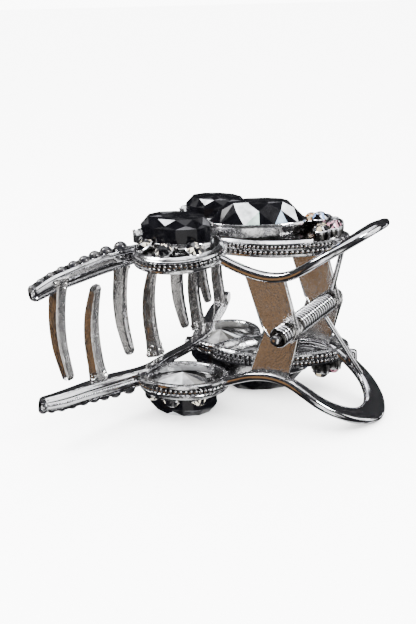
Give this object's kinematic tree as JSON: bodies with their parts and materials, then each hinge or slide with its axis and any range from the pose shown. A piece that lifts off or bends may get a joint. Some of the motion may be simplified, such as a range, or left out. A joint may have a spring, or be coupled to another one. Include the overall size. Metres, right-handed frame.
{
  "type": "rhinestone hair clip",
  "caption": "Jeweled claw hair clip lying closed on its side: two mirror-image toothed jaws with stone settings and finger rings on a sprung hinge.",
  "frame": {"origin": "middle of the closed clip's bounding box, on the hinge's middle plane; the hinge pin's axis is at X = 11.585 mm, Z = 0", "axes": "+X towards the finger rings and -X towards the teeth, Y along the hinge pin with -Y towards the pin's wound end, +Z out of the upper jaw's stones; the clip rests on the lower jaw's stones at -Z"},
  "size_m": [0.0522, 0.0744, 0.0388],
  "materials": {
    "casting": "bright plated zinc casting",
    "stone": "faceted dark foil-backed glass",
    "wire": "bright plated spring wire"
  },
  "bodies": {
    "lower_jaw": {"lower_bars": "casting", "lower_teeth": "casting", "lower_ring": "casting", "lower_ears": "casting", "lower_near_tray": "casting", "lower_far_tray": "casting", "lower_middle_tray": "casting", "lower_oval_stones": "stone", "lower_middle_stone": "stone", "lower_cluster_stones": "stone", "lower_tray_stones": "stone", "lower_bar_stones": "stone", "lower_corner_stones": "stone", "hinge_pin": "wire", "pin_head": "wire", "pin_end_coil": "wire", "torsion_spring": "wire", "spring_lower_leg": "wire", "spring_peg": "casting"},
    "upper_jaw": {"upper_bars": "casting", "upper_teeth": "casting", "upper_ring": "casting", "upper_ears": "casting", "upper_near_tray": "casting", "upper_far_tray": "casting", "upper_middle_tray": "casting", "upper_oval_stones": "stone", "upper_middle_stone": "stone", "upper_cluster_stones": "stone", "upper_tray_stones": "stone", "upper_bar_stones": "stone", "upper_corner_stones": "stone", "spring_upper_leg": "wire"}
  },
  "joints": [
    {"name": "jaw_hinge", "type": "hinge", "parent": "lower_jaw", "child": "upper_jaw", "pos_m": [0.01158, 0, 0], "axis": [0, 1, 0], "range_deg": [0, 50], "stiffness_Nm_per_rad": 0.06, "springref_deg": -74.48}
  ]
}
